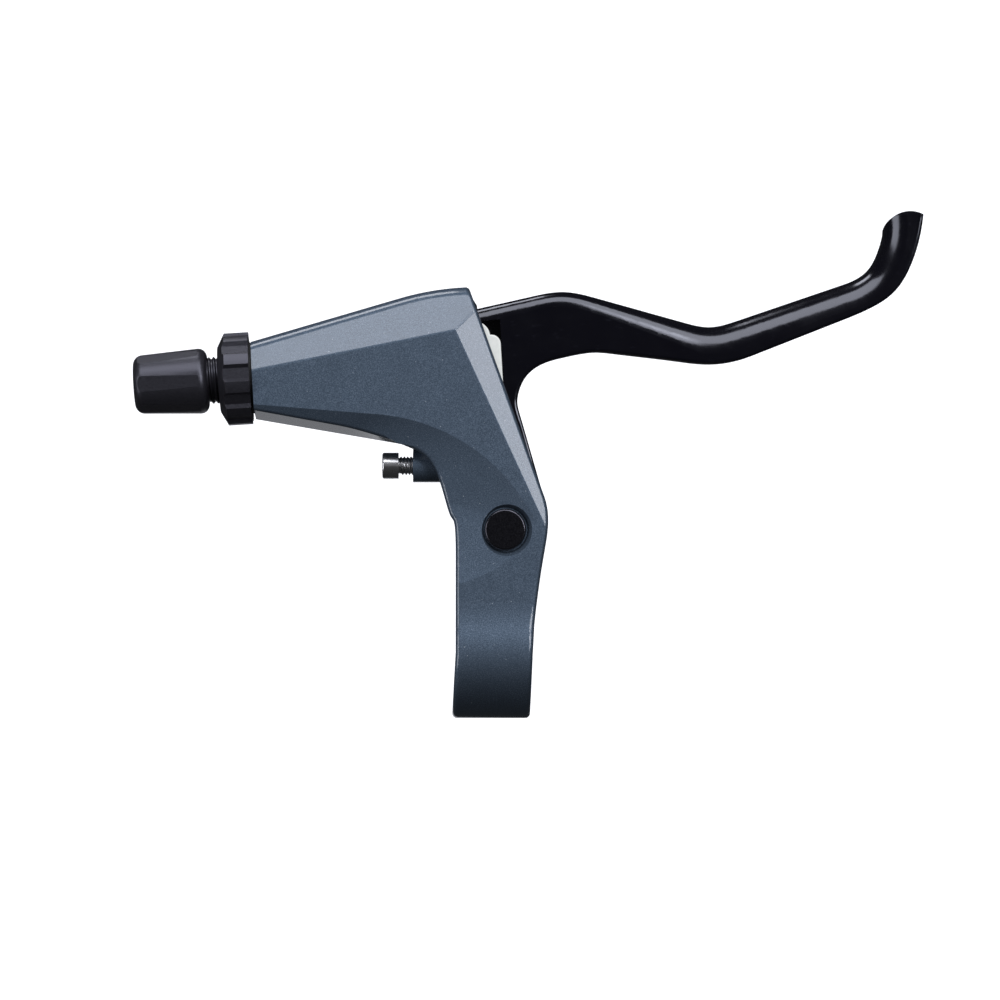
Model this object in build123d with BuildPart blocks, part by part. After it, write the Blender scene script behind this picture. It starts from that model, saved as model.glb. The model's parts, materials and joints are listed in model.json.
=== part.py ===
"""Flat-bar bicycle brake lever.

Origin at the handlebar clamp's centre, +X to the lever's tip, +Y forward, +Z up.
"""

import math
import os

from build123d import *

# How far a cut runs: right through everything, or just past a face
FAR = 60.0
OVERRUN = 1.0

# Handlebar clamp
BAR_RADIUS = 11.1
CLAMP_RADIUS = 14.2
CROWN_BLEND = 20.0
SLIT = 2.0
SLIT_ROOT = 8.0
LUG_FRONT = 20.8
LUG_ANGLE = 12.0
BOLT_Y = 15.5

# Bracket body, whose middle plane lies above the bar's axis
BODY_MID = 4.4
BODY_HALF = 8.2
BODY_TOP = BODY_MID + BODY_HALF
BODY_BOTTOM = BODY_MID - BODY_HALF
CAVITY_HALF = 5.1
CREST = (-19.6, 74.2)
CORNER = (-5.2, 76.5)
KNEE = (10.7, 32.4)
ARM_RIGHT = (8.25, 0.0)
ARM_LEFT = (-7.9, 19.0)
NOSE_RISE = 7.53
NOSE_FALL = 8.72
UNDER_CURVE = (-19.4, 43.55)
UNDER_TURN = 12.0
UNDER_LEAN = 2.0
UNDER_FADE = 13.0
UNDER_REACH = 8.0
REAR_Y = -15.0

# Facets of the bracket: lines on its top face and how steeply each falls outward
UPPER_LINE = ((-50.7, 58.9), (-8.7, 67.3))
UPPER_TILT = 25.0
FRONT_LINE = ((-7.0, 65.0), (8.7, 30.8))
FRONT_TILT = 15.0
LOW_LINE_START = (-58.0, 52.45)
LOW_LINE_BEND = (-24.0, 49.7)
LOW_LINE_END = (8.2, 28.5)
LOW_FADE = (-12.0, 13.0)
LOW_APEX = (-45.0, 38.0)
LOW_DROP = 6.0
UPPER_ROUND = 4.0
FACET_ROUND = 1.5
EDGE_ROUND = 1.0

# Lever pivot
PIVOT = (2.5, 25.6)
PIN_RADIUS = 2.98
PIN_HOLE = 3.0
PIN_HEAD_RADIUS = 4.35
PIN_HEAD_HEIGHT = 1.3
SINK_RADIUS = 5.6
SINK_FLOOR_RADIUS = 4.6
SINK_DEPTH = 1.7
LOW_SINK_DEPTH = 1.8
BUSH_BORE = 3.03
BUSH_RADIUS = 4.0
BUSH_FIT = 0.02
FLANGE_RADIUS = 5.1
FLANGE_HEIGHT = 0.9
FLANGE_FIT = 0.1
FLANGE_PROUD = 0.15
WASHER_HEIGHT = 0.5
WASHER_RADIUS = 5.2
RING_HEIGHT = 0.7
RING_RADIUS = 4.8
RING_GAP = 0.05
RING_NOTCH = 2.3
RING_NOTCH_RADIUS = 0.7
GROOVE_RADIUS = 2.4
WASHER_FIT = 0.1
PIN_TAIL = 0.5
PIN_HEAD_ROUND = 0.5

# Lever
LEVER_HALF = 4.8
BLADE_HALF = 6.0
TIP_HALF = 5.4
BOSS_RADIUS = 6.2
HEEL_ROUND_WIDTH = 3.0
HEEL_ROUND_DROP = 2.6
BLADE_ROUND_WIDTH = 6.0
BLADE_ROUND_DROP = 5.0
ROUND_FROM = 10.0
ROUND_TO = 54.0
ROUND_STEPS = 28
ROUND_BITE = 0.02
HEEL_EXTRA = 3.0
REAR_ROUND = 0.6
TIP_CENTRE = (87.4, 86.5)
TIP_RADIUS = 5.9
TIP_ROUND = 2.0
HEEL = (-4.0, 71.79)
NECK_END = (10.9, 31.2)
FLANK = (-4.9, 41.0)
BASE_LEFT = -11.5
NUB_HALF = 3.0
NUB_ROOM = 0.3

# Return spring
WIRE_RADIUS = 0.55
COIL_RADIUS = 4.72
COIL_PITCH = 1.13
COIL_TURNS = 2.25
RECESS_RADIUS = 5.5
RECESS_DEPTH = 4.4
LEVER_LEG = 5.0
BRACKET_LEG = 9.0
SPRING_TURN = -90.0
WIRE_ROOM = 0.3
WIRE_LIFT = 0.3
LEG_GAP = 5.5

# Cable line, in the body's middle plane
CABLE_POINT = (-53.2, 57.3)
CABLE_TILT = 3.4
NOSE_X = -50.45
SEAL_LENGTH = 0.6
SEAL_RADIUS = 7.45
SEAL_FIT = 0.1
NUT_LENGTH = 6.6
NUT_RADIUS = 9.7
NUT_RIDGES = 10
NUT_TURN = 6.5
NUT_VALLEY = 0.75
NUT_VALLEY_FLOOR = 2.2
NUT_VALLEY_MOUTH = 4.2
NUT_FACE_RADIUS = 6.9
NUT_CHAMFER = 1.5
NECK_LENGTH = 2.35
BARREL_LENGTH = 15.55
BARREL_RADIUS = 6.95
BARREL_TAPER = 0.9
BARREL_SHOULDER = 1.8
BARREL_RIM = 2.0
BARREL_FLATS = 6
FLAT_START = 1.8
FLAT_START_DEPTH = 0.10
FLAT_END_DEPTH = 0.25
STEM_RADIUS = 4.5
STEM_LENGTH = 21.5
THREAD_HOLE = 5.0
FERRULE_RADIUS = 3.05
FERRULE_DEPTH = 9.0
CABLE_HOLE = 1.5
CABLE_SLOT = 2.2
SLOT_LENGTH = 27.0
TUNNEL_END = -30.0

# Cable hook and the slider that carries it, measured from the hook's centre
HOOK_X = -5.0
HOOK_RADIUS = 4.8
HOOK_FIT = 0.08
NIPPLE_RADIUS = 3.65
SLIDER_RIGHT = 6.8
SLIDER_LEFT = -6.2
SLIDER_TOP = 6.0
SLIDER_LOW = -10.0
SLIDER_TRAVEL = 7.5
SLIDER_GAP = 0.12
SLIDER_ROUND = 2.0
SLIDER_EDGE = 0.3
MOUTH_TOP = 2.4
MOUTH_LOW = -4.4
KNUCKLE = (1.45, 5.76)
KNUCKLE_RADIUS = 3.2
POCKET_LEFT = -10.0
POCKET_FLOOR = BODY_MID - 2.2
SLIDER_FLOOR = POCKET_FLOOR + 0.1
SLIDER_CEILING = BODY_MID + LEVER_HALF - 0.1
HOOK_FLOOR = SLIDER_FLOOR + 0.7
HOOK_CEILING = SLIDER_CEILING - 0.3
NIPPLE_FLOOR = HOOK_FLOOR + 0.6
SCREW_X = 1.0
SCREW_Y = -7.6
SCREW_DEPTH = 4.0
SCREW_FIT = 0.05
SCREW_GAP = 0.1
SCREW_END_GAP = 1.0
SCREW_WEB = 0.4
SCREW_SOCKET = 2.0
SCREW_RADIUS = 1.45
SCREW_SLOT = 1.6
SCREW_HEAD_RADIUS = 2.5
SCREW_HEAD_HEIGHT = 1.3
SCREW_HEAD_SLOT = 2.75
SCREW_RECESS = 1.5

# Reach screw, along X in the body's middle plane
REACH_Y = 39.0
REACH_HEAD_X = -23.35
REACH_HEAD_LENGTH = 3.4
REACH_HEAD_RADIUS = 2.75
REACH_RADIUS = 1.65
REACH_HOLE = 2.0
REACH_TIP_X = -7.0
REACH_SOCKET = 2.5
REACH_SOCKET_DEPTH = 1.9
REACH_HEAD_ROUND = 0.4
REACH_HEAD_ROOM = 0.6
REACH_TRAVEL = 3.4
REACH_BOSS_X = -16.9
REACH_BOSS_RADIUS = 3.5
REACH_BOSS_LENGTH = 8.0

# Clamp bolt, along Z
BOLT_RADIUS = 2.45
BOLT_HOLE = 2.5
BOLT_CLEARANCE = 2.75
BOLT_HEAD_RADIUS = 4.25
BOLT_HEAD_HEIGHT = 5.0
BOLT_SOCKET = 4.0
BOLT_SOCKET_DEPTH = 2.6
BOLT_HEAD_ROUND = 0.5
BOLT_SEAT_Z = -8.9
BOLT_SEAT_RADIUS = 4.6
BOLT_END_Z = 5.5

os.makedirs("parts", exist_ok=True)

# Shared geometry
lug_top = BODY_BOTTOM - SLIT
cable_angle = math.radians(CABLE_TILT)
cable_along = Vector(math.cos(cable_angle), math.sin(cable_angle), 0)
pivot_axis = Axis((PIVOT[0], PIVOT[1], 0), (0, 0, 1))
mid_plane = Plane.XY.offset(BODY_MID)


def on_cable(x):
    """The point of the cable line at a given X."""
    rise = (x - CABLE_POINT[0]) * math.tan(cable_angle)
    return Vector(x, CABLE_POINT[1] + rise, BODY_MID)


def cable_plane(distance):
    """A plane across the cable line, facing outward, at a distance beyond the bracket's nose."""
    return Plane(on_cable(NOSE_X) - cable_along * distance, x_dir=(0, 0, 1), z_dir=-cable_along)


def bevel_plane(line, tilt):
    """The plane through a line on the body's top face that falls to the line's left by a tilt."""
    (ax, ay), (bx, by) = line
    along = Vector(bx - ax, by - ay, 0).normalized()
    lean = math.radians(tilt)
    normal = Vector(-along.Y * math.sin(lean), along.X * math.sin(lean), math.cos(lean))
    return Plane(((ax + bx) / 2, (ay + by) / 2, BODY_TOP), x_dir=along, z_dir=normal)


def nearest_edges(part, points):
    """For each point, the edge of the part whose middle lies nearest to it."""
    return [part.edges().sort_by(lambda edge: (edge @ 0.5 - Vector(*point)).length)[0] for point in points]


def above_middle(points, side=1):
    """Points given by their height above the middle plane, or with side -1 by their depth below it."""
    return [(x, y, BODY_MID + side * height) for x, y, height in points]


def both_faces(points):
    """Points given by their height above the middle plane, and the same points below it."""
    return above_middle(points) + above_middle(points, -1)


def corner_section(place, along, x):
    """What the finger side's round takes off an edge at a place, growing smoothly with X to the blade's size."""
    share = min(max((x - ROUND_FROM) / (ROUND_TO - ROUND_FROM), 0.0), 1.0)
    ease = share * share * (3 - 2 * share)
    width = HEEL_ROUND_WIDTH + (BLADE_ROUND_WIDTH - HEEL_ROUND_WIDTH) * ease
    drop = HEEL_ROUND_DROP + (BLADE_ROUND_DROP - HEEL_ROUND_DROP) * ease
    inner = -width - ROUND_BITE
    lower = -drop - ROUND_BITE
    outward = Vector(0, 0, 1).cross(along).normalized()
    with BuildSketch(Plane(place, x_dir=outward, z_dir=along)) as section:
        with BuildLine():
            Polyline((inner, -ROUND_BITE), (inner, OVERRUN), (OVERRUN, OVERRUN))
            Polyline((OVERRUN, OVERRUN), (OVERRUN, lower), (-ROUND_BITE, lower))
            EllipticalCenterArc((inner, lower), width, drop, start_angle=0, arc_size=90)
        make_face()
    return section.sketch.face()


def from_heel(wire, share):
    """A place on a wire and its direction there, at a share of the way from its end with the lower X."""
    if (wire @ 0).X < (wire @ 1).X:
        return wire @ share, wire % share
    return wire @ (1 - share), -(wire % (1 - share))


lever_low = BODY_MID - LEVER_HALF
hook_centre = on_cable(HOOK_X)
hook_plane = Plane((hook_centre.X, hook_centre.Y, 0), x_dir=cable_along, z_dir=(0, 0, 1))

# Line of the return spring's wire: a leg for the bracket, the coil about the pivot, a leg for the lever
coil_low = lever_low + WIRE_RADIUS + WIRE_LIFT
with BuildLine() as spring_line:
    coil = Helix(COIL_PITCH, COIL_PITCH * COIL_TURNS, COIL_RADIUS, center=(*PIVOT, coil_low))
    Line(coil @ 0 - (coil % 0) * BRACKET_LEG, coil @ 0)
    Line(coil @ 1, coil @ 1 + (coil % 1) * LEVER_LEG)
spring_wire = spring_line.wire().rotate(pivot_axis, SPRING_TURN)
leg_plane = Plane(spring_wire @ 0, z_dir=spring_wire % 0)

# Plan outline of the bracket, arm and clamp together
nose_centre = on_cable(NOSE_X)
cable_across = Vector(-math.sin(cable_angle), math.cos(cable_angle), 0)
nose_top = (nose_centre.X + cable_across.X * NOSE_RISE, nose_centre.Y + cable_across.Y * NOSE_RISE)
nose_low = (nose_centre.X - cable_across.X * NOSE_FALL, nose_centre.Y - cable_across.Y * NOSE_FALL)
under_along = (Vector(*UNDER_CURVE) - Vector(*nose_low)).normalized()
under_across = under_along.rotate(Axis.Z, 90)
under_turn = under_along.rotate(Axis.Z, -UNDER_TURN)
with BuildSketch() as plan:
    with BuildLine():
        upper = Line(nose_top, CREST)
        TangentArc(CREST, CORNER, tangent=upper % 1)
        front = Line(CORNER, KNEE)
        arm_front = [(11.45, 28.4), (10.6, 20.5), (9.3, 12.0), (8.6, 6.0)]
        Spline(KNEE, *arm_front, ARM_RIGHT, tangents=(front % 1, (-0.06, -1)))
        Polyline(ARM_RIGHT, (7.6, REAR_Y), (-8.8, REAR_Y), (ARM_LEFT[0], ARM_RIGHT[1]), ARM_LEFT)
        Line(nose_low, UNDER_CURVE)
        arm_back = [(-14.5, 41.1), (-11.3, 35.8), (-9.1, 28.6)]
        Spline(UNDER_CURVE, *arm_back, ARM_LEFT, tangents=(under_turn, (0, -1)))
        Line(nose_low, nose_top)
    make_face()

# What the facets take off the body, above and below
with BuildPart() as facets:
    with BuildSketch(bevel_plane(UPPER_LINE, UPPER_TILT)):
        Rectangle(2 * FAR, FAR)
    extrude(amount=FAR)
    with BuildSketch(bevel_plane(FRONT_LINE, FRONT_TILT)):
        Rectangle(2 * FAR, FAR)
    extrude(amount=FAR)
    with BuildSketch(Plane.XY.offset(BODY_TOP)) as low_region:
        with BuildLine():
            low_line = Line(LOW_LINE_START, LOW_LINE_BEND)
            low_arc = TangentArc(LOW_LINE_BEND, LOW_LINE_END, tangent=low_line % 1)
            Spline(LOW_LINE_END, (4.0, 20.0), LOW_FADE, tangents=(low_arc % 1, (-1, -0.25)))
            Polyline(LOW_FADE, (-40.0, 15.0), (-60.0, 40.0), LOW_LINE_START)
        make_face()
    loft(sections=[low_region.sketch.face(), Vertex(*LOW_APEX, BODY_TOP - LOW_DROP)])
    mirror(about=mid_plane)

# What the lean of the nose's under side takes off: nothing at the middle plane, most at the top
under_end = Vector(*UNDER_CURVE)
under_bend = under_end - under_along * UNDER_FADE
under_start = Vector(*nose_low) - under_along * UNDER_REACH
under_lean = under_across * UNDER_LEAN
under_out = under_across * -UNDER_REACH
with BuildPart() as under_cut:
    with BuildSketch(mid_plane):
        with BuildLine():
            Polyline(under_start, under_bend, under_end, under_end + under_out, under_start + under_out)
            Line(under_start + under_out, under_start)
        make_face()
    with BuildSketch(Plane.XY.offset(BODY_TOP)):
        with BuildLine():
            Line(under_start + under_lean, under_bend + under_lean)
            Spline(under_bend + under_lean, under_end, tangents=(under_along, under_turn))
            Polyline(under_end, under_end + under_out, under_start + under_out, under_start + under_lean)
        make_face()
    loft(ruled=True)
    mirror(about=mid_plane)

# Side profile of the clamp: crown blend, ring and the lug under the slit
blend_y = math.sqrt((CLAMP_RADIUS + CROWN_BLEND) ** 2 - (BODY_TOP + CROWN_BLEND) ** 2)
blend_half = math.atan2(blend_y, BODY_TOP + CROWN_BLEND) / 2
ring_share = CLAMP_RADIUS / (CLAMP_RADIUS + CROWN_BLEND)
blend_end = (blend_y * ring_share, (BODY_TOP + CROWN_BLEND) * ring_share)
blend_middle = (
    blend_y - CROWN_BLEND * math.sin(blend_half),
    BODY_TOP + CROWN_BLEND * (1 - math.cos(blend_half)),
)
lug_angle = math.radians(LUG_ANGLE)
lug_start = (CLAMP_RADIUS * math.sin(lug_angle), -CLAMP_RADIUS * math.cos(lug_angle))
lug_low = lug_start[1] + (LUG_FRONT - lug_start[0]) * math.tan(lug_angle)
with BuildPart() as clamp:
    with BuildSketch(Plane.YZ.offset(-FAR / 2)):
        with BuildLine():
            Polyline((SLIT_ROOT, BODY_BOTTOM), (blend_y, BODY_BOTTOM), (blend_y, BODY_TOP))
            ThreePointArc((blend_y, BODY_TOP), blend_middle, blend_end)
            ThreePointArc(blend_end, (-CLAMP_RADIUS, 0), lug_start)
            Polyline(lug_start, (LUG_FRONT, lug_low), (LUG_FRONT, lug_top), (SLIT_ROOT, lug_top))
            Line((SLIT_ROOT, lug_top), (SLIT_ROOT, BODY_BOTTOM))
        make_face()
    extrude(amount=FAR)
    extrude(plan.sketch.face(), amount=FAR / 2, both=True, mode=Mode.INTERSECT)

# Hollow for the lever, open to the front, as seen from above
with BuildSketch() as hollow:
    with BuildLine():
        Polyline((TUNNEL_END, 49.4), (-24.0, 48.4), (-16.0, 46.0), (-10.4, 41.4), (-7.6, 35.4))
        Polyline((-7.6, 35.4), (-4.72, 33.0), (-4.1, 26.6), (-4.3, 23.8), (-3.2, 20.6))
        Polyline((-3.2, 20.6), (-0.6, 18.7), (2.5, 18.2))
        Polyline((2.5, 18.2), (5.6, 18.6), (9.4, 20.2), (16.0, 20.2), (30.0, 60.0), (30.0, 80.0))
        Polyline((30.0, 80.0), (-2.0, 80.0), (-2.0, 72.3), (-5.0, 72.1), (-18.0, 70.6), (TUNNEL_END, 67.4))
        Line((TUNNEL_END, 67.4), (TUNNEL_END, 49.4))
    make_face()

# Lower slot beyond the hollow for the lever's nub
with BuildSketch() as nub_slot:
    with BuildLine():
        Polyline((-9.0, 71.0), (-8.6, 74.2), (-2.0, 74.5), (-2.0, 71.0), (-9.0, 71.0))
    make_face()

# The cast bracket with its handlebar clamp
with BuildPart() as bracket:
    extrude(plan.sketch.face().moved(Location((0, 0, BODY_MID))), amount=BODY_HALF, both=True)
    with Locations((0, blend_y - FAR, BODY_MID)):
        Box(2 * FAR, 2 * FAR, FAR, mode=Mode.SUBTRACT)
    add(facets.part, mode=Mode.SUBTRACT)
    add(under_cut.part, mode=Mode.SUBTRACT)
    add(clamp.part)
    upper_edges = [(-35.0, 69.6, 4.7), (-12.5, 75.8, 4.1)]
    fillet(nearest_edges(bracket.part, both_faces(upper_edges)), radius=UPPER_ROUND)
    facet_edges = [(-29.4, 63.2, BODY_HALF), (1.6, 46.2, BODY_HALF), (-7.2, 70.5, 6.8)]
    fillet(nearest_edges(bracket.part, both_faces(facet_edges)), radius=FACET_ROUND)
    rim_edges = [
        (-4.97, 75.87, 3.93),
        (-4.15, 72.8, 6.0),
        (3.0, 53.0, 6.8),
        (11.4, 29.1, 7.7),
        (11.3, 25.0, 8.1),
        (10.1, 17.3, BODY_HALF),
        (-42.0, 48.9, 6.6),
        (-26.0, 45.9, 6.3),
        (-14.9, 40.5, 6.5),
        (-8.1, 25.3, 6.6),
        (-7.9, 16.5, 7.8),
        (-7.9, 12.2, BODY_HALF),
    ]
    ring_edges = [
        (8.7, 7.3, 12.8),
        (8.4, 2.2, 14.0),
        (7.65, -14.1, -1.4),
        (-7.9, 7.3, 12.8),
        (-7.9, 2.2, 14.0),
        (-8.75, -14.1, -1.4),
    ]
    fillet(nearest_edges(bracket.part, both_faces(rim_edges) + ring_edges), radius=EDGE_ROUND)
    # Reach screw's boss
    with BuildSketch(Plane.YZ.offset(REACH_BOSS_X)):
        with Locations((REACH_Y, BODY_MID)):
            Circle(REACH_BOSS_RADIUS)
    extrude(amount=REACH_BOSS_LENGTH)
    # Lever hollow, cable tunnel and handlebar bore
    hollow_face = hollow.sketch.face().moved(Location((0, 0, BODY_MID)))
    extrude(hollow_face, amount=CAVITY_HALF, both=True, mode=Mode.SUBTRACT)
    nub_face = nub_slot.sketch.face().moved(Location((0, 0, BODY_MID)))
    extrude(nub_face, amount=NUB_HALF + NUB_ROOM, both=True, mode=Mode.SUBTRACT)
    with BuildSketch(cable_plane(OVERRUN)):
        Circle(THREAD_HOLE)
    extrude(amount=NOSE_X - TUNNEL_END - 2 * OVERRUN, mode=Mode.SUBTRACT)
    with BuildSketch(Plane.YZ.offset(-FAR / 2)):
        Circle(BAR_RADIUS)
    extrude(amount=FAR, mode=Mode.SUBTRACT)
    # Cable slot under the nose
    with BuildSketch(cable_plane(OVERRUN)):
        with Locations((-FAR / 2, 0)):
            Rectangle(FAR, CABLE_SLOT)
    extrude(amount=-SLOT_LENGTH - OVERRUN, mode=Mode.SUBTRACT)
    # Pivot hole, countersunk above and below
    with Locations((*PIVOT, BODY_MID)):
        Cylinder(PIN_HOLE, FAR, mode=Mode.SUBTRACT)
    with Locations((*PIVOT, BODY_TOP - SINK_DEPTH / 2)):
        Cone(SINK_FLOOR_RADIUS, SINK_RADIUS, SINK_DEPTH, mode=Mode.SUBTRACT)
    with Locations((*PIVOT, BODY_BOTTOM + LOW_SINK_DEPTH / 2)):
        Cylinder(SINK_RADIUS, LOW_SINK_DEPTH, mode=Mode.SUBTRACT)
    # Room for the reach screw's head in front of the boss, and its thread
    with BuildSketch(Plane.YZ.offset(REACH_BOSS_X)):
        with Locations((REACH_Y, BODY_MID)):
            Circle(REACH_HEAD_RADIUS + REACH_HEAD_ROOM)
    extrude(amount=REACH_HEAD_X - REACH_TRAVEL - REACH_BOSS_X, mode=Mode.SUBTRACT)
    with BuildSketch(Plane.YZ.offset(REACH_BOSS_X - OVERRUN)):
        with Locations((REACH_Y, BODY_MID)):
            Circle(REACH_HOLE)
    extrude(amount=REACH_TIP_X - REACH_BOSS_X + 2 * OVERRUN, mode=Mode.SUBTRACT)
    # Hole for the return spring's fixed leg
    with BuildSketch(leg_plane.offset(-WIRE_ROOM)):
        Circle(WIRE_RADIUS + WIRE_ROOM / 2)
    extrude(amount=BRACKET_LEG, mode=Mode.SUBTRACT)
    # Clamp bolt's seat, clearance hole and thread
    with BuildSketch(Plane.XY.offset(-FAR)):
        with Locations((0, BOLT_Y)):
            Circle(BOLT_SEAT_RADIUS)
    extrude(amount=FAR + BOLT_SEAT_Z, mode=Mode.SUBTRACT)
    with BuildSketch(Plane.XY.offset(-FAR)):
        with Locations((0, BOLT_Y)):
            Circle(BOLT_CLEARANCE)
    extrude(amount=FAR + lug_top + SLIT / 2, mode=Mode.SUBTRACT)
    with BuildSketch(Plane.XY.offset(BODY_BOTTOM - OVERRUN)):
        with Locations((0, BOLT_Y)):
            Circle(BOLT_HOLE)
    extrude(amount=BOLT_END_Z - BODY_BOTTOM + 2 * OVERRUN, mode=Mode.SUBTRACT)

# Outline of the blade and neck, run on past the tip so that the edges round evenly
with BuildSketch(mid_plane) as blade_plan:
    with BuildLine():
        heel = Line(HEEL, (9.5, 74.85))
        brow = Line((21.5, 74.2), (40.0, 69.05))
        back = Line((51.5, 69.55), (73.5, 77.05))
        belly = Line((73.5, 69.65), (54.3, 62.1))
        waist = Line((36.0, 61.3), (26.5, 62.4))
        neck = Line((6.3, 47.2), NECK_END)
        Spline(heel @ 1, (15.2, 75.45), brow @ 0, tangents=(heel % 1, brow % 0))
        Spline(brow @ 1, (45.2, 68.1), back @ 0, tangents=(brow % 1, back % 0))
        Spline(back @ 1, (79.2, 80.8), (81.4, 86.0), (81.5, 98.0), tangents=(back % 1, (0, 1)))
        Line((81.5, 98.0), (90.4, 98.0))
        outer_curve = [(90.4, 98.0), (89.9, 90.0), (88.3, 83.2), (85.0, 76.6)]
        Spline(*outer_curve, belly @ 0, tangents=((-0.02, -1), belly % 0))
        Spline(belly @ 1, (46.0, 60.35), waist @ 0, tangents=(belly % 1, waist % 0))
        inner_curve = [(21.2, 62.85), (15.5, 61.95), (10.0, 60.3), (6.5, 57.3), (5.05, 53.0)]
        Spline(waist @ 1, *inner_curve, neck @ 0, tangents=(waist % 1, neck % 0))
        Polyline(NECK_END, (3.0, NECK_END[1]), (HEEL[0], 55.0), HEEL)
    make_face()

# Outline of the lever's base inside the bracket
with BuildSketch(mid_plane) as base_plan:
    with BuildLine():
        boss_low = (PIVOT[0], PIVOT[1] - BOSS_RADIUS)
        boss_left = (PIVOT[0] - BOSS_RADIUS, PIVOT[1])
        Spline(NECK_END, (10.5, 25.6), (8.2, 22.0), boss_low, tangents=((0.2, -1), (-1, 0)))
        RadiusArc(boss_low, boss_left, BOSS_RADIUS)
        Polyline(boss_left, FLANK, (BASE_LEFT, 48.0), (BASE_LEFT, 70.05), (-7.5, 71.0), (-5.3, 71.3))
        Polyline((-5.3, 71.3), (-3.6, 71.0), (-3.6, 66.0), (2.5, 48.0))
        Polyline((2.5, 48.0), (5.4, 36.0), (7.0, NECK_END[1]), NECK_END)
    make_face()

# Outline of the nub that stops the lever against the bracket's upper wall
with BuildSketch(mid_plane) as nub_plan:
    with BuildLine():
        Polyline((-8.0, 70.0), (-7.0, 73.1), (-4.35, 74.0), (-3.45, 72.6), (-3.2, 70.0), (-8.0, 70.0))
    make_face()

# How the blade widens towards the fingers, seen from the rear
with BuildSketch(Plane.XZ.offset(-2 * FAR)) as blade_side:
    with BuildLine():
        upper_flare = Spline(
            (-10.0, BODY_MID + LEVER_HALF),
            (12.0, BODY_MID + LEVER_HALF),
            (45.0, BODY_MID + BLADE_HALF),
            (100.0, BODY_MID + TIP_HALF),
            tangents=((1, 0), (1, 0)),
        )
        lower_flare = Spline(
            (-10.0, BODY_MID - LEVER_HALF),
            (12.0, BODY_MID - LEVER_HALF),
            (45.0, BODY_MID - BLADE_HALF),
            (100.0, BODY_MID - TIP_HALF),
            tangents=((1, 0), (1, 0)),
        )
        Line(upper_flare @ 0, lower_flare @ 0)
        Line(upper_flare @ 1, lower_flare @ 1)
    make_face()

# Pocket in the lever for the cable slider, open to the left
pocket_right = SLIDER_RIGHT + SLIDER_GAP
pocket_top = KNUCKLE[1] + KNUCKLE_RADIUS + SLIDER_GAP
pocket_low = SLIDER_LOW - SLIDER_TRAVEL - SLIDER_GAP

# What is cut away beyond the rounded tip
with BuildPart() as tip_disc:
    with Locations((*TIP_CENTRE, BODY_MID)):
        Cylinder(TIP_RADIUS, 2 * BLADE_HALF)
    fillet(tip_disc.edges().filter_by(GeomType.CIRCLE), radius=TIP_ROUND)

with BuildPart() as beyond_tip:
    with Locations((TIP_CENTRE[0], TIP_CENTRE[1] + FAR / 2, BODY_MID)):
        Box(FAR, FAR, FAR)
    add(tip_disc.part, mode=Mode.SUBTRACT)

# Blade and neck before their edges are rounded
with BuildPart() as blade:
    extrude(blade_plan.sketch.face(), amount=2 * LEVER_HALF, both=True)
    extrude(blade_side.sketch.face(), amount=2 * FAR, mode=Mode.INTERSECT)
    rear_edges = [(31.25, 61.85, 5.5)]
    fillet(nearest_edges(blade.part, both_faces(rear_edges)), radius=REAR_ROUND)

# What the round of the finger side takes off, along the edge from the heel to the tip
finger_points = [
    (2.75, 73.32, 4.75),
    (15.54, 75.43, 4.88),
    (30.75, 71.63, 5.47),
    (45.79, 68.12, 6.02),
    (62.5, 73.3, 6.03),
    (81.32, 85.72, 5.63),
]
finger_edge = Wire(nearest_edges(blade.part, above_middle(finger_points)))
finger_sections = []
for step in range(ROUND_STEPS + 1):
    place, along = from_heel(finger_edge, step / ROUND_STEPS)
    if step == 0:
        finger_sections.append(corner_section(place - along * HEEL_EXTRA, along, place.X))
    finger_sections.append(corner_section(place, along, place.X))
with BuildPart() as finger_round:
    loft(sections=finger_sections)
    mirror(about=mid_plane)

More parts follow.
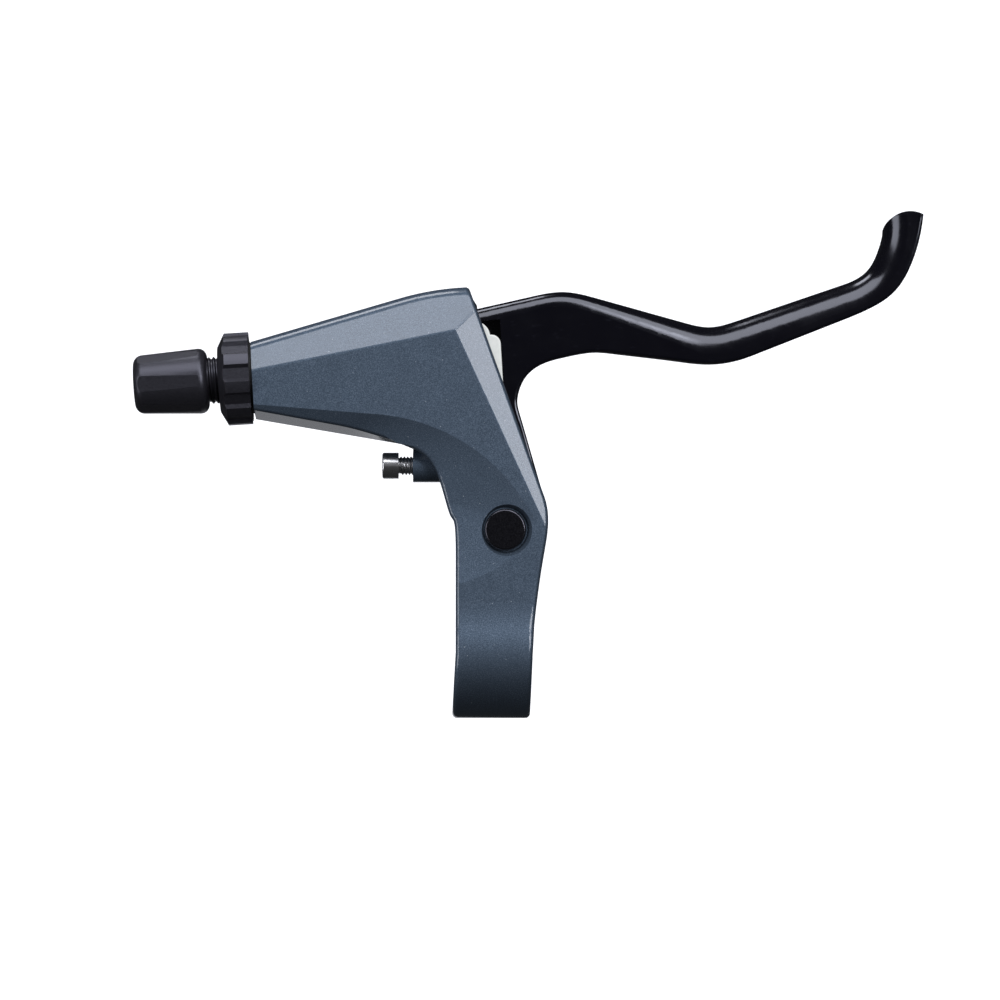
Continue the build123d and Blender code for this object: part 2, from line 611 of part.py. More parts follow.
# Blade, neck and base in one piece
recess_top = lever_low + RECESS_DEPTH
flange_seat = BODY_MID + LEVER_HALF - FLANGE_HEIGHT + FLANGE_PROUD
with BuildPart() as brake_lever:
    add(blade.part)
    add(finger_round.part, mode=Mode.SUBTRACT)
    add(beyond_tip.part, mode=Mode.SUBTRACT)
    extrude(base_plan.sketch.face(), amount=LEVER_HALF, both=True)
    extrude(nub_plan.sketch.face(), amount=NUB_HALF, both=True)
    # Pocket and the screw's slot in its floor
    with BuildSketch(hook_plane.offset(POCKET_FLOOR)):
        with Locations(((POCKET_LEFT + pocket_right) / 2, (pocket_low + pocket_top) / 2)):
            Rectangle(pocket_right - POCKET_LEFT, pocket_top - pocket_low)
    extrude(amount=FAR, mode=Mode.SUBTRACT)
    with BuildSketch(hook_plane):
        with Locations((SCREW_X, SCREW_Y - SLIDER_TRAVEL / 2)):
            SlotCenterToCenter(SLIDER_TRAVEL, 2 * SCREW_SLOT, rotation=90)
    extrude(amount=FAR, both=True, mode=Mode.SUBTRACT)
    with BuildSketch(hook_plane.offset(lever_low)):
        with Locations((SCREW_X, SCREW_Y - SLIDER_TRAVEL / 2)):
            SlotCenterToCenter(SLIDER_TRAVEL, 2 * SCREW_HEAD_SLOT, rotation=90)
    extrude(amount=SCREW_RECESS, mode=Mode.SUBTRACT)
    # Pivot bore, the upper bush's seat and the spring's recess
    with Locations((*PIVOT, BODY_MID)):
        Cylinder(BUSH_RADIUS + BUSH_FIT, FAR, mode=Mode.SUBTRACT)
    with BuildSketch(Plane.XY.offset(flange_seat)):
        with Locations(PIVOT):
            Circle(FLANGE_RADIUS + FLANGE_FIT)
    extrude(amount=FAR, mode=Mode.SUBTRACT)
    with BuildSketch(Plane.XY.offset(lever_low)):
        with Locations(PIVOT):
            Circle(RECESS_RADIUS)
        with Locations((PIVOT[0] + COIL_RADIUS, PIVOT[1] + LEVER_LEG / 2)):
            Rectangle(2 * WIRE_RADIUS + WIRE_ROOM, LEVER_LEG + OVERRUN)
    extrude(amount=RECESS_DEPTH, mode=Mode.SUBTRACT)
    # Gap in the boss where the spring's other leg leaves for the bracket
    with BuildSketch(Plane.XY.offset(lever_low)):
        with Locations((PIVOT[0] - BOSS_RADIUS / 2, PIVOT[1] - BOSS_RADIUS + OVERRUN)):
            Rectangle(BOSS_RADIUS + 2 * OVERRUN, LEG_GAP)
    extrude(amount=2 * (WIRE_RADIUS + WIRE_LIFT), mode=Mode.SUBTRACT)

# Cable slider
with BuildPart() as cable_slider:
    with BuildSketch(hook_plane.offset(SLIDER_FLOOR)):
        with Locations(((SLIDER_LEFT + SLIDER_RIGHT) / 2, (SLIDER_LOW + SLIDER_TOP) / 2)):
            RectangleRounded(SLIDER_RIGHT - SLIDER_LEFT, SLIDER_TOP - SLIDER_LOW, SLIDER_ROUND)
        with Locations(KNUCKLE):
            Circle(KNUCKLE_RADIUS)
    extrude(amount=SLIDER_CEILING - SLIDER_FLOOR)
    fillet(cable_slider.faces().sort_by(Axis.Z)[-1].edges(), radius=SLIDER_EDGE)
    with BuildSketch(hook_plane.offset(HOOK_FLOOR - SLIDER_GAP)):
        Circle(HOOK_RADIUS + HOOK_FIT)
    extrude(amount=FAR, mode=Mode.SUBTRACT)
    with BuildSketch(hook_plane.offset(HOOK_FLOOR - SLIDER_GAP)):
        with Locations((-HOOK_RADIUS, (MOUTH_LOW + MOUTH_TOP) / 2)):
            Rectangle(2 * HOOK_RADIUS, MOUTH_TOP - MOUTH_LOW)
    extrude(amount=FAR, mode=Mode.SUBTRACT)
    with BuildSketch(hook_plane):
        with Locations((SCREW_X, SCREW_Y)):
            Circle(SCREW_RADIUS + SCREW_FIT)
    extrude(amount=SLIDER_FLOOR + SCREW_DEPTH, mode=Mode.SUBTRACT)

# Swivelling hook that takes the cable's end
with BuildPart() as cable_hook:
    with BuildSketch(hook_plane.offset(HOOK_FLOOR)):
        Circle(HOOK_RADIUS)
    extrude(amount=HOOK_CEILING - HOOK_FLOOR)
    with BuildSketch(hook_plane.offset(NIPPLE_FLOOR)):
        Circle(NIPPLE_RADIUS)
        with Locations((-HOOK_RADIUS, 0)):
            Rectangle(2 * HOOK_RADIUS, CABLE_SLOT)
    extrude(amount=FAR, mode=Mode.SUBTRACT)

# Screw that holds the slider at either end of its slot
head_top = lever_low + SCREW_RECESS - SCREW_GAP
with BuildPart() as slider_screw:
    with BuildSketch(hook_plane.offset(head_top - SCREW_HEAD_HEIGHT)):
        with Locations((SCREW_X, SCREW_Y)):
            Circle(SCREW_HEAD_RADIUS)
    extrude(amount=SCREW_HEAD_HEIGHT)
    with BuildSketch(hook_plane.offset(head_top)):
        with Locations((SCREW_X, SCREW_Y)):
            Circle(SCREW_RADIUS)
    extrude(amount=SLIDER_FLOOR + SCREW_DEPTH - SCREW_END_GAP - head_top)
    with BuildSketch(hook_plane.offset(head_top - SCREW_HEAD_HEIGHT)):
        with Locations((SCREW_X, SCREW_Y)):
            RegularPolygon(SCREW_SOCKET / 2, 6, major_radius=False)
    extrude(amount=SCREW_HEAD_HEIGHT - SCREW_WEB, mode=Mode.SUBTRACT)

# Pivot pin, washer and retaining ring
sink_floor = BODY_TOP - SINK_DEPTH
low_floor = BODY_BOTTOM + LOW_SINK_DEPTH
ring_top = low_floor - WASHER_HEIGHT
pin_end = ring_top - RING_HEIGHT - PIN_TAIL
with BuildPart() as pivot_pin:
    with Locations((*PIVOT, pin_end)):
        Cylinder(PIN_RADIUS, sink_floor - pin_end, align=(Align.CENTER, Align.CENTER, Align.MIN))
    with Locations((*PIVOT, sink_floor)):
        Cylinder(PIN_HEAD_RADIUS, PIN_HEAD_HEIGHT, align=(Align.CENTER, Align.CENTER, Align.MIN))
    fillet(pivot_pin.edges().sort_by(Axis.Z)[-1], radius=PIN_HEAD_ROUND)
    with BuildSketch(Plane.XY.offset(ring_top - RING_HEIGHT)):
        with Locations(PIVOT):
            Circle(PIN_RADIUS + OVERRUN)
            Circle(GROOVE_RADIUS, mode=Mode.SUBTRACT)
    extrude(amount=RING_HEIGHT, mode=Mode.SUBTRACT)

with BuildPart() as pivot_washer:
    with BuildSketch(Plane.XY.offset(ring_top)):
        with Locations(PIVOT):
            Circle(WASHER_RADIUS)
            Circle(PIN_HOLE + WASHER_FIT, mode=Mode.SUBTRACT)
    extrude(amount=WASHER_HEIGHT)

with BuildPart() as retaining_ring:
    with BuildSketch(Plane.XY.offset(ring_top - RING_HEIGHT + RING_GAP)):
        with Locations(PIVOT):
            Circle(RING_RADIUS)
            Circle(GROOVE_RADIUS + RING_GAP, mode=Mode.SUBTRACT)
        with Locations((PIVOT[0], PIVOT[1] + RING_RADIUS / 2)):
            Rectangle(2 * GROOVE_RADIUS, RING_RADIUS, mode=Mode.SUBTRACT)
        for side in (-RING_NOTCH, RING_NOTCH):
            with Locations((PIVOT[0] + side, PIVOT[1] - RING_NOTCH)):
                Circle(RING_NOTCH_RADIUS, mode=Mode.SUBTRACT)
    extrude(amount=RING_HEIGHT - RING_GAP)

# Bushes of the lever's pivot
with BuildPart() as upper_bush:
    with BuildSketch(Plane.XY.offset(recess_top + BUSH_FIT)):
        with Locations(PIVOT):
            Circle(BUSH_RADIUS)
    extrude(amount=flange_seat - recess_top - BUSH_FIT)
    with BuildSketch(Plane.XY.offset(flange_seat)):
        with Locations(PIVOT):
            Circle(FLANGE_RADIUS)
    extrude(amount=FLANGE_HEIGHT)
    with Locations((*PIVOT, BODY_MID)):
        Cylinder(BUSH_BORE, FAR, mode=Mode.SUBTRACT)

with BuildPart() as lower_bush:
    with BuildSketch(Plane.XY.offset(lever_low - FLANGE_PROUD)):
        with Locations(PIVOT):
            Circle(BUSH_RADIUS)
            Circle(BUSH_BORE, mode=Mode.SUBTRACT)
    extrude(amount=RECESS_DEPTH + FLANGE_PROUD)

# Return spring
with BuildPart() as return_spring:
    with BuildSketch(leg_plane):
        Circle(WIRE_RADIUS)
    sweep(path=spring_wire)

# Barrel adjuster: a tapering knob with shallow flats, a threaded stem, a housing seat and a cable slot
nut_start = SEAL_LENGTH
barrel_start = nut_start + NUT_LENGTH + NECK_LENGTH
barrel_end = barrel_start + BARREL_LENGTH
barrel_end_radius = BARREL_RADIUS - BARREL_TAPER
flat_start_radius = BARREL_RADIUS - BARREL_TAPER * FLAT_START / BARREL_LENGTH - FLAT_START_DEPTH
flat_end_radius = barrel_end_radius - FLAT_END_DEPTH
cable_axis = Axis(on_cable(NOSE_X), -cable_along)
with BuildPart() as one_flat:
    with BuildSketch(Plane(cable_plane(barrel_start).origin, x_dir=-cable_along, z_dir=cable_across)):
        with BuildLine():
            Polyline(
                (FLAT_START, flat_start_radius),
                (BARREL_LENGTH, flat_end_radius),
                (BARREL_LENGTH + OVERRUN, flat_end_radius),
                (BARREL_LENGTH + OVERRUN, BARREL_RADIUS + OVERRUN),
                (FLAT_START, BARREL_RADIUS + OVERRUN),
                (FLAT_START, flat_start_radius),
            )
        make_face()
    extrude(amount=BARREL_RADIUS, both=True)

with BuildPart() as barrel_adjuster:
    with Locations(cable_plane(barrel_start)):
        Cone(BARREL_RADIUS, barrel_end_radius, BARREL_LENGTH, align=(Align.CENTER, Align.CENTER, Align.MIN))
    rims = barrel_adjuster.edges().filter_by(GeomType.CIRCLE).sort_by(Axis.X)
    fillet(rims[-1], radius=BARREL_SHOULDER)
    rims = barrel_adjuster.edges().filter_by(GeomType.CIRCLE).sort_by(Axis.X)
    fillet(rims[0], radius=BARREL_RIM)
    for turn in range(BARREL_FLATS):
        add(one_flat.part.rotate(cable_axis, turn * 360 / BARREL_FLATS), mode=Mode.SUBTRACT)
    with BuildSketch(cable_plane(barrel_start)):
        Circle(STEM_RADIUS)
    extrude(amount=-STEM_LENGTH)
    with BuildSketch(cable_plane(barrel_end)):
        Circle(FERRULE_RADIUS)
    extrude(amount=-FERRULE_DEPTH, mode=Mode.SUBTRACT)
    with BuildSketch(cable_plane(barrel_end)):
        Circle(CABLE_HOLE)
        with Locations((-FAR / 2, 0)):
            Rectangle(FAR, CABLE_SLOT)
    extrude(amount=-BARREL_LENGTH - STEM_LENGTH, mode=Mode.SUBTRACT)

# Ridged lock nut
with BuildPart() as nut_form:
    with BuildSketch(cable_plane(nut_start)):
        Circle(NUT_RADIUS)
    extrude(amount=NUT_LENGTH - NUT_CHAMFER)
    with Locations(cable_plane(nut_start + NUT_LENGTH - NUT_CHAMFER)):
        Cone(NUT_RADIUS, NUT_FACE_RADIUS, NUT_CHAMFER, align=(Align.CENTER, Align.CENTER, Align.MIN))

with BuildPart() as lock_nut:
    with BuildSketch(cable_plane(nut_start)):
        Circle(NUT_RADIUS)
        with PolarLocations(NUT_RADIUS, NUT_RIDGES, start_angle=NUT_TURN):
            Polygon(
                (-NUT_VALLEY, -NUT_VALLEY_FLOOR / 2),
                (NUT_VALLEY, -NUT_VALLEY_MOUTH + NUT_VALLEY_FLOOR / 2),
                (NUT_VALLEY, NUT_VALLEY_MOUTH - NUT_VALLEY_FLOOR / 2),
                (-NUT_VALLEY, NUT_VALLEY_FLOOR / 2),
                mode=Mode.SUBTRACT,
            )
    extrude(amount=NUT_LENGTH)
    add(nut_form.part, mode=Mode.INTERSECT)
    with BuildSketch(cable_plane(nut_start)):
        Circle(THREAD_HOLE)
        with Locations((-FAR / 2, 0)):
            Rectangle(FAR, CABLE_SLOT)
    extrude(amount=NUT_LENGTH, mode=Mode.SUBTRACT)

# Seal between the nut and the bracket's nose
with BuildPart() as nose_seal:
    with BuildSketch(cable_plane(0)):
        Circle(SEAL_RADIUS)
        Circle(THREAD_HOLE + SEAL_FIT, mode=Mode.SUBTRACT)
        with Locations((-FAR / 2, 0)):
            Rectangle(FAR, CABLE_SLOT, mode=Mode.SUBTRACT)
    extrude(amount=SEAL_LENGTH)

# Reach screw
with BuildPart() as reach_screw:
    with BuildSketch(Plane.YZ.offset(REACH_HEAD_X)):
        with Locations((REACH_Y, BODY_MID)):
            Circle(REACH_HEAD_RADIUS)
    extrude(amount=REACH_HEAD_LENGTH)
    fillet(reach_screw.edges().sort_by(Axis.X)[0], radius=REACH_HEAD_ROUND)
    with BuildSketch(Plane.YZ.offset(REACH_HEAD_X)):
        with Locations((REACH_Y, BODY_MID)):
            Circle(REACH_RADIUS)
    extrude(amount=REACH_TIP_X - REACH_HEAD_X)
    with BuildSketch(Plane.YZ.offset(REACH_HEAD_X)):
        with Locations((REACH_Y, BODY_MID)):
            RegularPolygon(REACH_SOCKET / 2, 6, major_radius=False)
    extrude(amount=REACH_SOCKET_DEPTH, mode=Mode.SUBTRACT)

# Clamp bolt
with BuildPart() as clamp_bolt:
    with Locations((0, BOLT_Y, BOLT_SEAT_Z)):
        Cylinder(BOLT_HEAD_RADIUS, BOLT_HEAD_HEIGHT, align=(Align.CENTER, Align.CENTER, Align.MAX))
        Cylinder(BOLT_RADIUS, BOLT_END_Z - BOLT_SEAT_Z, align=(Align.CENTER, Align.CENTER, Align.MIN))
    fillet(clamp_bolt.edges().sort_by(Axis.Z)[0], radius=BOLT_HEAD_ROUND)
    with BuildSketch(Plane.XY.offset(BOLT_SEAT_Z - BOLT_HEAD_HEIGHT)):
        with Locations((0, BOLT_Y)):
            RegularPolygon(BOLT_SOCKET / 2, 6, major_radius=False)
    extrude(amount=BOLT_SOCKET_DEPTH, mode=Mode.SUBTRACT)

bracket.part.label = "bracket"
export_step(bracket.part, "parts/bracket.step")
brake_lever.part.label = "brake_lever"
export_step(brake_lever.part, "parts/brake_lever.step")
pivot_pin.part.label = "pivot_pin"
export_step(pivot_pin.part, "parts/pivot_pin.step")
pivot_washer.part.label = "pivot_washer"
export_step(pivot_washer.part, "parts/pivot_washer.step")
retaining_ring.part.label = "retaining_ring"
export_step(retaining_ring.part, "parts/retaining_ring.step")
upper_bush.part.label = "upper_bush"
export_step(upper_bush.part, "parts/upper_bush.step")
lower_bush.part.label = "lower_bush"
export_step(lower_bush.part, "parts/lower_bush.step")
return_spring.part.label = "return_spring"
export_step(return_spring.part, "parts/return_spring.step")
cable_slider.part.label = "cable_slider"
export_step(cable_slider.part, "parts/cable_slider.step")
cable_hook.part.label = "cable_hook"
export_step(cable_hook.part, "parts/cable_hook.step")
slider_screw.part.label = "slider_screw"
export_step(slider_screw.part, "parts/slider_screw.step")
barrel_adjuster.part.label = "barrel_adjuster"
export_step(barrel_adjuster.part, "parts/barrel_adjuster.step")
lock_nut.part.label = "lock_nut"
export_step(lock_nut.part, "parts/lock_nut.step")
nose_seal.part.label = "nose_seal"
export_step(nose_seal.part, "parts/nose_seal.step")
reach_screw.part.label = "reach_screw"
export_step(reach_screw.part, "parts/reach_screw.step")
clamp_bolt.part.label = "clamp_bolt"
export_step(clamp_bolt.part, "parts/clamp_bolt.step")
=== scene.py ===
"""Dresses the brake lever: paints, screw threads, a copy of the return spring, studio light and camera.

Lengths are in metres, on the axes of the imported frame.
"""

import json
import math

import bmesh
import bpy
from mathutils import Matrix, Vector


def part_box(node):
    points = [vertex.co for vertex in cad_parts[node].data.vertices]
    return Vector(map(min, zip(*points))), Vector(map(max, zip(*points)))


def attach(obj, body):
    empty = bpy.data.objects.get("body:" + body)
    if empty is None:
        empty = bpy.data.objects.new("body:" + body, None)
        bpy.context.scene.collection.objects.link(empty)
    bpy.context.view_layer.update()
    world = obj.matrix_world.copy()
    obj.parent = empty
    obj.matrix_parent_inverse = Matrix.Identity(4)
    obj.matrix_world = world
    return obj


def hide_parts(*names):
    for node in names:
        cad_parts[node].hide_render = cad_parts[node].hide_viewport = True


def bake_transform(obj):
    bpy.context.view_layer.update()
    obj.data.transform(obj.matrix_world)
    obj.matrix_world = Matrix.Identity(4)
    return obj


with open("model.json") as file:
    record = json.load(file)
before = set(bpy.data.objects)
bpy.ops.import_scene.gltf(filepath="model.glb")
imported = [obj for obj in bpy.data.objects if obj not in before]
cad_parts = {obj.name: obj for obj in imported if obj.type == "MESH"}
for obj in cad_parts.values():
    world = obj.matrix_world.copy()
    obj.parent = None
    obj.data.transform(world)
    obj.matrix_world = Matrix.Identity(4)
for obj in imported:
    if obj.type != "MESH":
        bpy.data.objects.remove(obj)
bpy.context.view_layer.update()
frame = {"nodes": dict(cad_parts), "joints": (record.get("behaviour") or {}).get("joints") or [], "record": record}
nodes = frame["nodes"]
joints = {joint["name"]: joint for joint in frame["joints"]}

MM = 0.001
DOWN = (0, 0, -1)
WHITE = (1.0, 1.0, 1.0, 1.0)

# Camera: straight above this point, with this width in view at this height
VIEW_CENTRE = (1.37 * MM, 31.8 * MM)
VIEW_WIDTH = 210.0 * MM
VIEW_HEIGHT = 6.0 * MM
CAMERA_DISTANCE = 1.3
SENSOR_IN_MM = 36.0
CLIP_END = 100.0

# Stage
FLOOR_DROP = 0.16
FLOOR_HALF = 12.0
FLOOR_COLOUR = (0.90, 0.90, 0.90, 1.0)
FLOOR_ROUGHNESS = 0.9
FLOOR_GLOW = 0.30
WORLD_COLOUR = (0.95, 0.97, 1.0, 1.0)
WORLD_GLOW = 0.03
SOFTBOX_COLOUR = (0.93, 0.945, 1.0)

# Soft lights: name, degrees from +X, degrees from straight up, distance, width and height, radiance
SOFTBOXES = [
    ("back_softbox", 94.0, 55.0, 1.2, (1.30, 0.74), 4.3),
    ("corner_softbox", 60.0, 41.0, 1.2, (0.44, 0.44), 5.6),
    ("left_softbox", 180.0, 56.0, 1.2, (0.90, 0.62), 3.8),
    ("right_softbox", 22.0, 39.0, 1.2, (0.50, 0.54), 7.6),
    ("low_strip", 107.0, 100.0, 0.40, (0.13, 0.11), 6.0),
    ("under_fill", 233.0, 153.0, 0.155, (0.10, 0.06), 0.55),
]

# Screw threads: pitch, root radius and crest radius
BARREL_THREAD = (1.0 * MM, 4.45 * MM, 4.92 * MM)
REACH_THREAD = (0.7 * MM, 1.6 * MM, 1.96 * MM)

# A thread's ridge, in pitches: half its width at the root and at the crest, and how far in it starts
RIDGE_FOOT = 0.46
RIDGE_TOP = 0.08
RIDGE_START = 0.5
STEPS_PER_TURN = 40
MERGE_DISTANCE = 1e-7

# Black metals: colour in the grain's hollows and on its peaks, and the roughness of each
BLACK_METALS = {
    "black_anodised": ((0.0075, 0.0072, 0.0090), (0.0150, 0.0150, 0.0180), (0.32, 0.46)),
    "black_steel": ((0.00225, 0.00216, 0.00270), (0.00450, 0.00450, 0.00540), (0.17, 0.31)),
}

# Plastics and rubber: the mottle's dark and light colour, and the roughness of each
PLASTICS = {
    "black_rubber": ((0.010, 0.010, 0.011), (0.018, 0.018, 0.019), (0.70, 0.82)),
    "white_plastic": ((0.70, 0.71, 0.66), (0.80, 0.81, 0.76), (0.38, 0.50)),
    "bush_plastic": ((0.040, 0.040, 0.044), (0.060, 0.060, 0.064), (0.55, 0.67)),
}

# Shading: faces that meet at more than this angle get a hard edge
HARD_EDGE = math.radians(24)


def new_object(name, data):
    """A new object in the scene."""
    made = bpy.data.objects.new(name, data)
    bpy.context.scene.collection.objects.link(made)
    return made


def principled(name):
    """A new material with its node tree and its Principled shader."""
    material = bpy.data.materials.new(name)
    material.use_nodes = True
    tree = material.node_tree
    shader = tree.nodes["Principled BSDF"]
    return material, tree, shader


def set_inputs(node, **values):
    """Sets a node's inputs by name, with underscores for spaces."""
    for name, value in values.items():
        node.inputs[name.replace("_", " ")].default_value = value


def noise(tree, scale, detail=2.0, roughness=0.5, stretch=None):
    """A noise texture in the piece's own coordinates, with features about 1/scale metres wide."""
    coordinates = tree.nodes.new("ShaderNodeTexCoord")
    source = coordinates.outputs["Object"]
    if stretch:
        mapping = tree.nodes.new("ShaderNodeMapping")
        set_inputs(mapping, Scale=stretch)
        tree.links.new(source, mapping.inputs["Vector"])
        source = mapping.outputs["Vector"]
    texture = tree.nodes.new("ShaderNodeTexNoise")
    set_inputs(texture, Scale=scale, Detail=detail, Roughness=roughness)
    tree.links.new(source, texture.inputs["Vector"])
    return texture.outputs["Fac"]


def ramp(tree, source, stops):
    """A colour ramp over a value; stops are (place, colour) pairs with a grey level or three numbers."""
    node = tree.nodes.new("ShaderNodeValToRGB")
    elements = node.color_ramp.elements
    while len(elements) < len(stops):
        elements.new(0.5)
    for element, (place, colour) in zip(elements, stops):
        rgb = (colour, colour, colour) if isinstance(colour, float) else colour
        element.position = place
        element.color = (*rgb, 1.0)
    tree.links.new(source, node.inputs["Fac"])
    return node.outputs["Color"]


def mix_colour(tree, factor, base, over):
    """A base colour's socket with a plain colour laid over it, as much as the factor's socket says."""
    node = tree.nodes.new("ShaderNodeMix")
    node.data_type = "RGBA"
    tree.links.new(factor, node.inputs["Factor"])
    base_input, over_input = [socket for socket in node.inputs if socket.type == "RGBA"]
    tree.links.new(base, base_input)
    over_input.default_value = (*over, 1.0)
    return [socket for socket in node.outputs if socket.type == "RGBA"][0]


def link_finish(tree, shader, colour, roughness):
    """Feeds the shader's colour and roughness from two sockets."""
    tree.links.new(colour, shader.inputs["Base Color"])
    tree.links.new(roughness, shader.inputs["Roughness"])


def add_bump(tree, shader, height, strength, distance):
    """Fine relief from a height value."""
    bump = tree.nodes.new("ShaderNodeBump")
    set_inputs(bump, Strength=strength, Distance=distance)
    tree.links.new(height, bump.inputs["Height"])
    tree.links.new(bump.outputs["Normal"], shader.inputs["Normal"])


def slate_paint():
    """Satin metallic paint, blue-grey with fine flakes, faint clouds and a few larger bright specks."""
    flake_dark = (0.064, 0.088, 0.119)
    flake_middle = (0.085, 0.116, 0.157)
    flake_light = (0.138, 0.176, 0.228)
    cloud_colour = (0.050, 0.068, 0.094)
    speck_colour = (0.42, 0.46, 0.50)
    material, tree, shader = principled("slate_paint")
    flakes = noise(tree, scale=5200, detail=1.0)
    clouds = noise(tree, scale=160, detail=3.0)
    specks = noise(tree, scale=2300, detail=0.0)
    peel = noise(tree, scale=2400, detail=2.0)
    colour = ramp(tree, flakes, [(0.30, flake_dark), (0.52, flake_middle), (0.74, flake_light)])
    colour = mix_colour(tree, ramp(tree, clouds, [(0.35, 0.0), (0.70, 0.18)]), colour, cloud_colour)
    colour = mix_colour(tree, ramp(tree, specks, [(0.835, 0.0), (0.875, 0.6)]), colour, speck_colour)
    link_finish(tree, shader, colour, ramp(tree, flakes, [(0.3, 0.70), (0.8, 0.62)]))
    set_inputs(shader, Metallic=1.0, Specular_Tint=(0.40, 0.42, 0.46, 1.0))
    set_inputs(shader, Coat_Weight=1.0, Coat_Roughness=0.12)
    add_bump(tree, shader, peel, strength=0.06, distance=0.03 * MM)
    return material


def black_paint():
    """Gloss black lacquer with a faint violet cast, a little orange peel and a few fine scuffs."""
    lacquer_colour = (0.0022, 0.0021, 0.0038)
    scuff_colour = (0.011, 0.011, 0.016)
    material, tree, shader = principled("black_paint")
    scuffs = noise(tree, scale=900, detail=6.0, roughness=0.7, stretch=(0.45, 1.0, 1.0))
    haze = noise(tree, scale=220, detail=4.0)
    peel = noise(tree, scale=1500, detail=2.0)
    colour = ramp(tree, scuffs, [(0.60, lacquer_colour), (0.80, scuff_colour)])
    link_finish(tree, shader, colour, ramp(tree, haze, [(0.3, 0.13), (0.8, 0.20)]))
    set_inputs(shader, Specular_IOR_Level=0.66, Specular_Tint=(0.88, 0.90, 1.0, 1.0))
    add_bump(tree, shader, peel, strength=0.06, distance=0.02 * MM)
    return material


def black_metal(name, dark, light, roughness):
    """Dark dyed or blackened metal with a fine grain."""
    smooth, dull = roughness
    material, tree, shader = principled(name)
    grain = noise(tree, scale=3800, detail=3.0)
    colour = ramp(tree, grain, [(0.35, dark), (0.75, light)])
    link_finish(tree, shader, colour, ramp(tree, grain, [(0.3, smooth), (0.8, dull)]))
    set_inputs(shader, Specular_IOR_Level=0.6, Specular_Tint=(0.84, 0.84, 1.0, 1.0))
    add_bump(tree, shader, grain, strength=0.12, distance=0.03 * MM)
    return material


def bright_steel():
    """Plated steel with faint drawing lines, duller where it is darker."""
    dull_colour = (0.42, 0.42, 0.43)
    bright_colour = (0.66, 0.66, 0.67)
    material, tree, shader = principled("steel")
    lines = noise(tree, scale=1400, detail=4.0, roughness=0.6, stretch=(0.15, 1.0, 1.0))
    colour = ramp(tree, lines, [(0.3, dull_colour), (0.7, bright_colour)])
    link_finish(tree, shader, colour, ramp(tree, lines, [(0.3, 0.34), (0.8, 0.20)]))
    set_inputs(shader, Metallic=1.0)
    add_bump(tree, shader, lines, strength=0.10, distance=0.02 * MM)
    return material


def plastic(name, dark, light, roughness):
    """Moulded plastic or rubber with a faint mottle."""
    smooth, dull = roughness
    material, tree, shader = principled(name)
    mottle = noise(tree, scale=700, detail=4.0)
    relief = noise(tree, scale=2600, detail=2.0)
    colour = ramp(tree, mottle, [(0.3, dark), (0.75, light)])
    link_finish(tree, shader, colour, ramp(tree, mottle, [(0.3, smooth), (0.8, dull)]))
    add_bump(tree, shader, relief, strength=0.10, distance=0.03 * MM)
    return material


materials = {"slate_paint": slate_paint(), "black_paint": black_paint(), "steel": bright_steel()}
for slot_name, look in BLACK_METALS.items():
    materials[slot_name] = black_metal(slot_name, *look)
for slot_name, look in PLASTICS.items():
    materials[slot_name] = plastic(slot_name, *look)


def dress_nodes():
    """Gives every CAD node its finish, with smooth rounds and crisp edges."""
    for subpart in frame["record"]["subparts"]:
        node = nodes[subpart["node"]]
        node.data.materials.clear()
        node.data.materials.append(materials[subpart["material_slot"]])
        node.data.shade_smooth()
        node.data.set_sharp_from_angle(angle=HARD_EDGE)


def add_piece(name, mesh, body, slot):
    """A new piece that rides on a body and takes a slot's finish."""
    piece = new_object(name, mesh)
    mesh.materials.append(materials[slot])
    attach(piece, body)


def thread_mesh(name, thread, length, gap_angle=0.0):
    """A screw thread's ridge along +Z from the origin, left open over a gap centred on -X."""
    pitch, root, crest = thread
    profile = [(-RIDGE_FOOT, root), (-RIDGE_TOP, crest), (RIDGE_TOP, crest), (RIDGE_FOOT, root)]
    turns = int(length / pitch) - 1
    first_angle = -math.pi + gap_angle / 2
    sweep = math.tau - gap_angle
    work = bmesh.new()
    for turn in range(turns):
        rings = []
        for step in range(STEPS_PER_TURN + 1):
            angle = first_angle + sweep * step / STEPS_PER_TURN
            climb = (turn + RIDGE_START + (angle + math.pi) / math.tau) * pitch
            ring = []
            for offset, radius in profile:
                spot = (radius * math.cos(angle), radius * math.sin(angle), climb + offset * pitch)
                ring.append(work.verts.new(spot))
            rings.append(ring)
        for here, there in zip(rings, rings[1:]):
            for corner in range(len(profile)):
                following = (corner + 1) % len(profile)
                work.faces.new((here[corner], here[following], there[following], there[corner]))
        work.faces.new(rings[0])
        work.faces.new(list(reversed(rings[-1])))
    if not gap_angle:
        # Without a gap, each turn ends where the next begins
        bmesh.ops.remove_doubles(work, verts=work.verts, dist=MERGE_DISTANCE)
    bmesh.ops.recalc_face_normals(work, faces=work.faces)
    mesh = bpy.data.meshes.new(name)
    work.to_mesh(mesh)
    work.free()
    mesh.shade_smooth()
    mesh.set_sharp_from_angle(angle=HARD_EDGE)
    return mesh


def place_along(mesh, start, axis, side):
    """Moves a mesh made along +Z to start, along an axis, with its -X turned to a side."""
    along = Vector(axis).normalized()
    minus_x = Vector(side).normalized()
    across = along.cross(-minus_x)
    turn = Matrix((-minus_x, across, along)).transposed().to_4x4()
    mesh.transform(Matrix.Translation(start) @ turn)


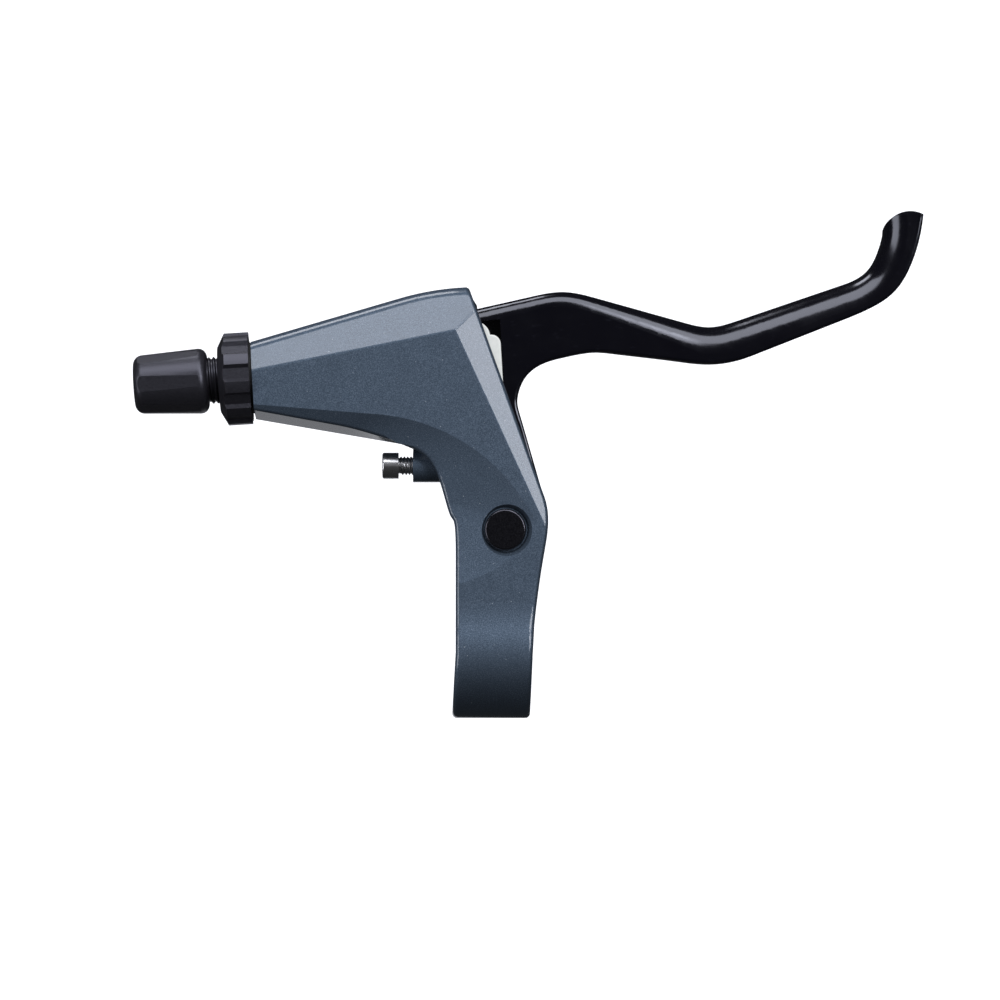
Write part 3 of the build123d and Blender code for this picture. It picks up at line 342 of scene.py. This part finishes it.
def barrel_thread():
    """Thread on the barrel adjuster's stem, broken by the cable slot underneath."""
    stem_length = 21.6 * MM
    stem_start = 15.0 * MM
    slot_half = 1.25 * MM
    _, root, _ = BARREL_THREAD
    gap = 2 * math.asin(slot_half / root)
    mesh = thread_mesh("barrel_thread", BARREL_THREAD, stem_length, gap)
    outward = Vector(joints["lock_nut_turn"]["axis"])
    start = Vector(joints["lock_nut_turn"]["pos_m"]) - outward * stem_start
    place_along(mesh, start, outward, DOWN)
    add_piece("barrel_thread", mesh, "barrel", "black_anodised")


def reach_thread():
    """Thread on the reach screw's shank."""
    head_length = 3.4 * MM
    low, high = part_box("reach_screw")
    start = Vector((low.x + head_length, (low.y + high.y) / 2, (low.z + high.z) / 2))
    mesh = thread_mesh("reach_thread", REACH_THREAD, high.x - start.x)
    place_along(mesh, start, joints["reach_travel"]["axis"], DOWN)
    add_piece("reach_thread", mesh, "reach", "steel")


def winding_spring():
    """The return spring, as a copy of the CAD node's mesh that stands in for the hidden node."""
    spring = new_object("winding_spring", nodes["return_spring"].data.copy())
    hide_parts("return_spring")
    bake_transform(spring)


def pale_floor():
    """A pale floor below the object, which the gloss doesn't mirror."""
    mesh = bpy.data.meshes.new("floor")
    half = FLOOR_HALF
    corners = [(-half, -half, 0), (half, -half, 0), (half, half, 0), (-half, half, 0)]
    mesh.from_pydata(corners, [], [(0, 1, 2, 3)])
    material, _, shader = principled("floor_white")
    set_inputs(shader, Base_Color=FLOOR_COLOUR, Roughness=FLOOR_ROUGHNESS)
    set_inputs(shader, Emission_Color=WHITE, Emission_Strength=FLOOR_GLOW)
    mesh.materials.append(material)
    floor = new_object("floor", mesh)
    floor.location.z = -FLOOR_DROP
    floor.visible_glossy = False


def softbox(name, azimuth, polar, distance, size, radiance):
    """A soft rectangular light, placed by its angle from +X and from straight up, aimed at the object."""
    width, height = size
    data = bpy.data.lights.new(name, "AREA")
    data.shape = "RECTANGLE"
    data.size = width
    data.size_y = height
    data.energy = radiance * math.pi * width * height
    data.color = SOFTBOX_COLOUR
    turn = math.radians(azimuth)
    tilt = math.radians(polar)
    across = math.sin(tilt)
    direction = Vector((across * math.cos(turn), across * math.sin(turn), math.cos(tilt)))
    light = new_object(name, data)
    light.location = Vector((*VIEW_CENTRE, 0.0)) + direction * distance
    light.rotation_mode = "QUATERNION"
    light.rotation_quaternion = (-direction).to_track_quat("-Z", "Y")
    light.visible_camera = False


def dim_surround():
    """A faint even light from all round."""
    world = bpy.data.worlds.new("studio")
    bpy.context.scene.world = world
    world.use_nodes = True
    set_inputs(world.node_tree.nodes["Background"], Color=WORLD_COLOUR, Strength=WORLD_GLOW)


def camera():
    """A long lens straight above, framed as the photograph."""
    data = bpy.data.cameras.new("camera")
    data.sensor_width = SENSOR_IN_MM
    data.lens = SENSOR_IN_MM * CAMERA_DISTANCE / VIEW_WIDTH
    data.clip_end = CLIP_END
    lens = new_object("camera", data)
    lens.location = (*VIEW_CENTRE, VIEW_HEIGHT + CAMERA_DISTANCE)
    bpy.context.scene.camera = lens


dress_nodes()
barrel_thread()
reach_thread()
winding_spring()
pale_floor()
for placing in SOFTBOXES:
    softbox(*placing)
dim_surround()
camera()
bpy.context.scene.view_settings.view_transform = "Standard"
